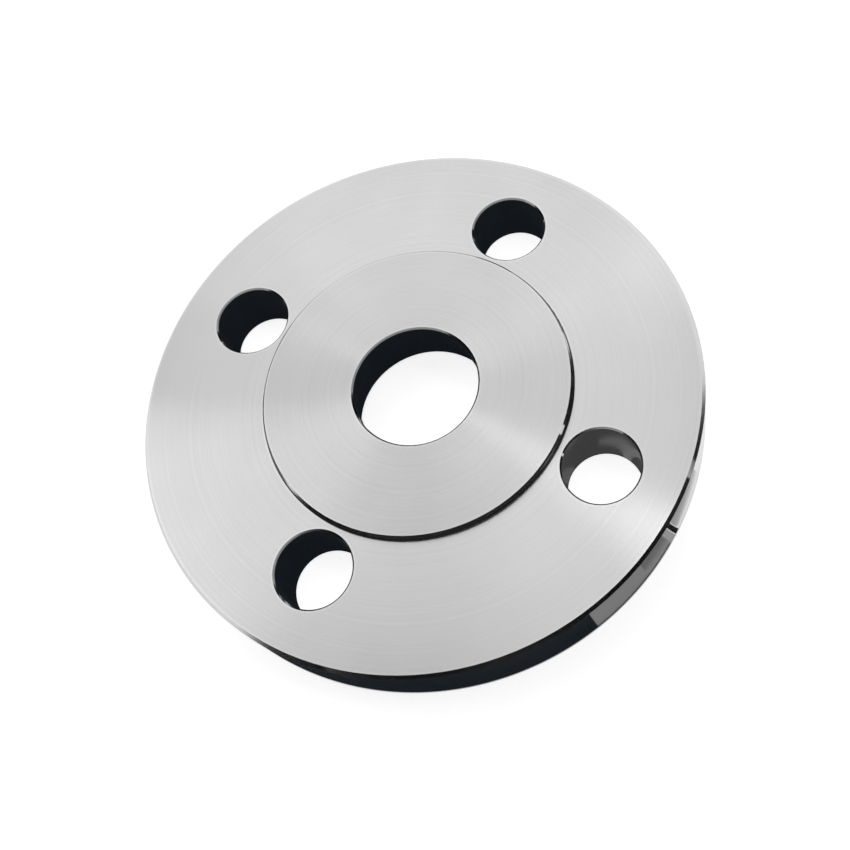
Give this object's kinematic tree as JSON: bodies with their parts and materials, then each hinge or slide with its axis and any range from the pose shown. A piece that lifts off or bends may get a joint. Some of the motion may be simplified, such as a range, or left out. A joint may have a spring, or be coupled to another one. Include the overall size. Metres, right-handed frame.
{
  "type": "pipe flange",
  "caption": "Round steel pipe flange with a raised sealing face, bolt holes near the rim and a stepped centre bore that seats the pipe from behind.",
  "frame": {"origin": "centre of the flat back face, on the bore's axis", "axes": "+Z along the bore's axis, the way the raised sealing face looks; +X midway between two bolt holes"},
  "size_m": [0.105, 0.105, 0.014],
  "materials": {
    "turned_steel": "bright fine-turned stainless steel"
  },
  "bodies": {
    "root": {"flange": "turned_steel"}
  },
  "joints": []
}
